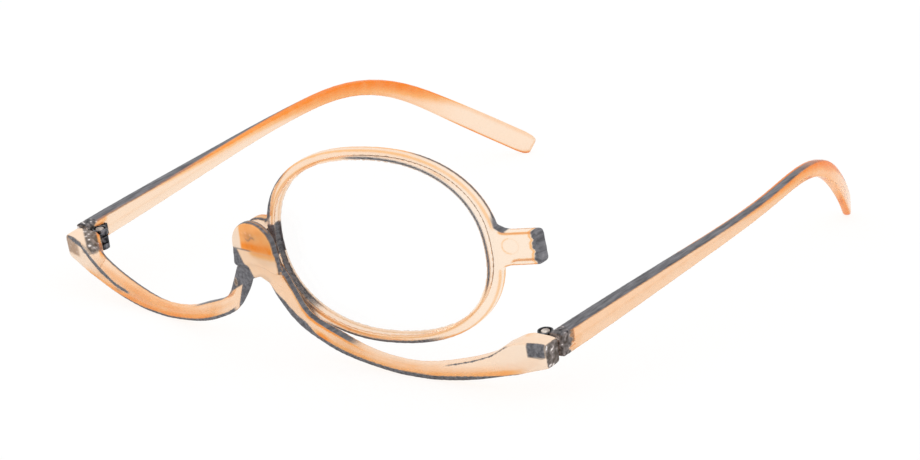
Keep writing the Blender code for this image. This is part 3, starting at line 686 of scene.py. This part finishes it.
def paint_lug(paint, skin, outward):
    """Grey block of painted shade where the lug leaves the ring, and painted shade on the walls round
    the screw.
    """
    block = within(skin.x, 2.3, 7.6, 0.3) * within(skin.z, -2.2, 4.4, 0.3) * fall(outward, 4.0, 5.5)
    walls = fall(skin.square, 0.3, 0.7) * fall(skin.x, *LUG_END)
    paint.add(block, grey=1.0)
    paint.add(walls, grey=0.3, deep=0.5)


def paint_tab(paint, skin):
    """Finger tab with dark edges, greyer above and below as painted reflection, painted shade at its
    root, a grey end of painted dark reflection and a round mark, painted deeper on its left half as
    shade.
    """
    x, z = skin.x, skin.z
    tab = step(x, *TAB_START)
    edges = tab * step(skin.slant(), 0.45, 0.95)
    root = fall(skin.square, 0.3, 0.7) * within(x, 55.8, 58.6, 0.5) * step(z, 3.0, 3.5)
    ragged = x + 0.2 * np.sin(2.3 * z) + 0.1 * np.sin(5.1 * z + 1.0)
    mark_x, mark_z = MARK_PLACE
    mark = bump(np.hypot(x - mark_x, z - mark_z), MARK_RADIUS, 0.16)
    # Painted shade: the left half of the round mark is deeper
    mark *= step(skin.forward, 0.4, 0.8) * np.where(x < mark_x, 1.0, 0.35)
    paint.add(edges, deep=0.9)
    paint.add(edges * step(np.abs(z), 2.0, 3.0), grey=0.3)
    paint.add(root, grey=0.8)
    paint.add(tab * step(ragged, *TAB_GREY_END_START), grey=0.9, speckle=0.06)
    paint.add(tab * within(ragged, 63.7, 64.2, 0.15), deep=0.6)
    paint.add(mark, deep=0.45)


class Tree:
    """Node tree of a new material, with short ways to add nodes to it."""

    def __init__(self, name):
        self.material = bpy.data.materials.new(name)
        self.material.use_nodes = True
        self.nodes = self.material.node_tree.nodes
        self.shader = self.nodes["Principled BSDF"]
        self.output = self.nodes["Material Output"]

    def feed(self, socket, value):
        """Gives a socket another node's output, or a constant."""
        if isinstance(value, bpy.types.NodeSocket):
            self.material.node_tree.links.new(value, socket)
        else:
            socket.default_value = value

    def add(self, kind, inputs):
        """New node with its inputs set by name or number."""
        node = self.nodes.new(kind)
        for key, value in inputs.items():
            self.feed(node.inputs[key], value)
        return node

    def shaded(self, inputs):
        """Sets the shader's inputs and returns the material."""
        for key, value in inputs.items():
            self.feed(self.shader.inputs[key], value)
        return self.material

    def stored(self, name):
        """Value stored at the points by the painting functions."""
        node = self.nodes.new("ShaderNodeAttribute")
        node.attribute_name = name
        return node.outputs["Fac"]

    def math(self, operation, first, second):
        """Sum of two values or the like, clamped between 0 and 1."""
        node = self.add("ShaderNodeMath", {0: first, 1: second})
        node.operation = operation
        node.use_clamp = True
        return node.outputs[0]

    def mix(self, factor, first, second):
        """First colour where the factor is 0, second where it is 1."""
        node = self.nodes.new("ShaderNodeMix")
        node.data_type = "RGBA"
        for slot, value in ((0, factor), (6, first), (7, second)):
            self.feed(node.inputs[slot], value)
        return node.outputs[2]

    def noise(self, scale, detail, low, high, squeeze=(1.0, 1.0, 1.0)):
        """Noise between low and high on the object, in streaks where it is squeezed."""
        place = self.nodes.new("ShaderNodeTexCoord").outputs["Object"]
        squeezed = self.add("ShaderNodeVectorMath", {0: place, 1: squeeze})
        squeezed.operation = "MULTIPLY"
        inputs = {"Scale": scale, "Detail": detail, "Vector": squeezed.outputs[0]}
        noise = self.add("ShaderNodeTexNoise", inputs)
        spread = self.add("ShaderNodeMapRange", {
            "Value": noise.outputs["Fac"],
            "From Min": 0.3,
            "From Max": 0.7,
            "To Min": low,
            "To Max": high,
        })
        return spread.outputs[0]

    def ramp(self, factor, tones):
        """Colour between the tones, each given as a place and a colour, in rising order."""
        node = self.add("ShaderNodeValToRGB", {0: factor})
        stops = node.color_ramp.elements
        for i, (place, colour) in enumerate(tones):
            stop = stops[i] if i < 2 else stops.new(place)
            stop.position = place
            stop.color = colour
        return node.outputs[0]


def plastic():
    """Clear peach plastic: orange where deep, grey where dark reflections and shade are painted, with
    a slight mottling.
    """
    tree = Tree("peach_plastic")
    grey = tree.stored("grey")
    speckle = tree.stored("speckle")
    deep = tree.math("MULTIPLY", tree.stored("deep"), tree.noise(420.0, 3.0, 0.85, 1.12))
    streaks = tree.noise(1600.0, 2.0, 0.0, 1.0, squeeze=(1.0, 0.06, 1.0))
    colour = tree.mix(grey, tree.ramp(deep, PEACH_TONES), tree.ramp(streaks, GREY_TONES))
    # Clutter of hinge metal seen through, whose palest spots are painted highlights
    clutter = tree.ramp(tree.noise(900.0, 1.5, 0.0, 1.0), CLUTTER_TONES)
    solid = tree.math("MULTIPLY", deep, 0.6)
    for shade in (grey, speckle, tree.stored("milky")):
        solid = tree.math("MAXIMUM", shade, solid)
    absorb = tree.add("ShaderNodeVolumeAbsorption", {
        "Color": ABSORBED_TONE,
        "Density": ABSORBED_PER_METRE,
    })
    tree.feed(tree.output.inputs["Volume"], absorb.outputs[0])
    return tree.shaded({
        "Base Color": tree.mix(speckle, colour, clutter),
        "Transmission Weight": tree.math("SUBTRACT", 0.95, solid),
        "Roughness": 0.06,
        "IOR": CLEAR_IOR,
        "Coat Weight": CLEAR_COAT,
        "Coat Roughness": 0.04,
    })


def lens_material():
    """Clear lens with a trace of haze."""
    tree = Tree("clear_lens")
    return tree.shaded({
        "Base Color": WHITE,
        "Transmission Weight": 1.0,
        "Roughness": tree.noise(60.0, 2.0, 0.0, 0.02),
        "IOR": CLEAR_IOR,
        "Coat Weight": CLEAR_COAT,
    })


def metal(name, tones, scale):
    """Mottled metal, from dark marks to light ones, which stand partly for painted reflections and
    highlights.
    """
    tree = Tree(name)
    return tree.shaded({
        "Base Color": tree.ramp(tree.noise(scale, 3.0, 0.0, 1.0), tones),
        "Roughness": tree.noise(2 * scale, 2.0, 0.25, 0.5),
        "Metallic": 1.0,
    })


def nylon():
    """Off-white washer with faint patches."""
    tree = Tree("washer_nylon")
    return tree.shaded({
        "Base Color": tree.ramp(tree.noise(900.0, 3.0, 0.0, 1.0), NYLON_TONES),
        "Roughness": 0.5,
    })


def floor_material():
    """Floor that is white as seen and in reflections, and plain pale for light that it spreads."""
    tree = Tree("white_floor")
    tree.nodes.remove(tree.shader)
    rays = tree.nodes.new("ShaderNodeLightPath").outputs
    seen = tree.math("MAXIMUM", rays["Is Camera Ray"], rays["Is Glossy Ray"])
    seen = tree.math("MAXIMUM", seen, rays["Is Transmission Ray"])
    lit = tree.add("ShaderNodeBsdfDiffuse", {"Color": FLOOR_LIT}).outputs[0]
    glow = tree.add("ShaderNodeEmission", {"Color": FLOOR_GLOW}).outputs[0]
    bright = tree.add("ShaderNodeAddShader", {0: lit, 1: glow}).outputs[0]
    plain = tree.add("ShaderNodeBsdfDiffuse", {"Color": FLOOR_BOUNCE}).outputs[0]
    surface = tree.add("ShaderNodeMixShader", {0: seen, 1: plain, 2: bright}).outputs[0]
    tree.feed(tree.output.inputs["Surface"], surface)
    return tree.material


def floor():
    """Wide square floor at the height on which the glasses stand."""
    half = FLOOR_HALF_WIDTH
    mesh = bpy.data.meshes.new("floor")
    corners = [(-half, -half, 0), (half, -half, 0), (half, half, 0), (-half, half, 0)]
    mesh.from_pydata(corners, [], [(0, 1, 2, 3)])
    mesh.materials.append(floor_material())
    obj = bpy.data.objects.new("floor", mesh)
    bpy.context.scene.collection.objects.link(obj)


def world():
    """Even white light from all sides."""
    studio = bpy.data.worlds.new("studio")
    studio.use_nodes = True
    background = studio.node_tree.nodes["Background"]
    background.inputs["Color"].default_value = WHITE
    background.inputs["Strength"].default_value = 1.0
    bpy.context.scene.world = studio


def plastic_pieces():
    """Soft copies of the plastic nodes, all of one plastic."""
    peach = plastic()
    pieces = {}
    for node, body in PLASTIC_BODIES.items():
        piece = soft_copy(node, node + "_clear", body)
        piece.data.materials.append(peach)
        pieces[node] = piece
    return pieces


def finish_kept_nodes():
    """Lens, metals and washer: the CAD nodes that keep their shape get a better material."""
    steel = metal("steel", STEEL_TONES, 900.0)
    pale_steel = metal("pale_steel", PALE_STEEL_TONES, 900.0)
    finishes = {
        "lens": lens_material(),
        "pivot_insert": metal("brass", BRASS_TONES, 700.0),
        "friction_washer": nylon(),
        "left_hinge_screw": pale_steel,
        "right_hinge_screw": pale_steel,
    }
    for node, obj in frame["nodes"].items():
        if node not in PLASTIC_BODIES:
            obj.data.materials[0] = finishes.get(node, steel)


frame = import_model()
bpy.context.scene.view_settings.view_transform = "Standard"
camera()
world()
floor()
pieces = plastic_pieces()
paint_front(pieces["front_frame"])
paint_ring(pieces["lens_rim"])
paint_temple(pieces["left_temple"], "left")
paint_temple(pieces["right_temple"], "right")
finish_kept_nodes()
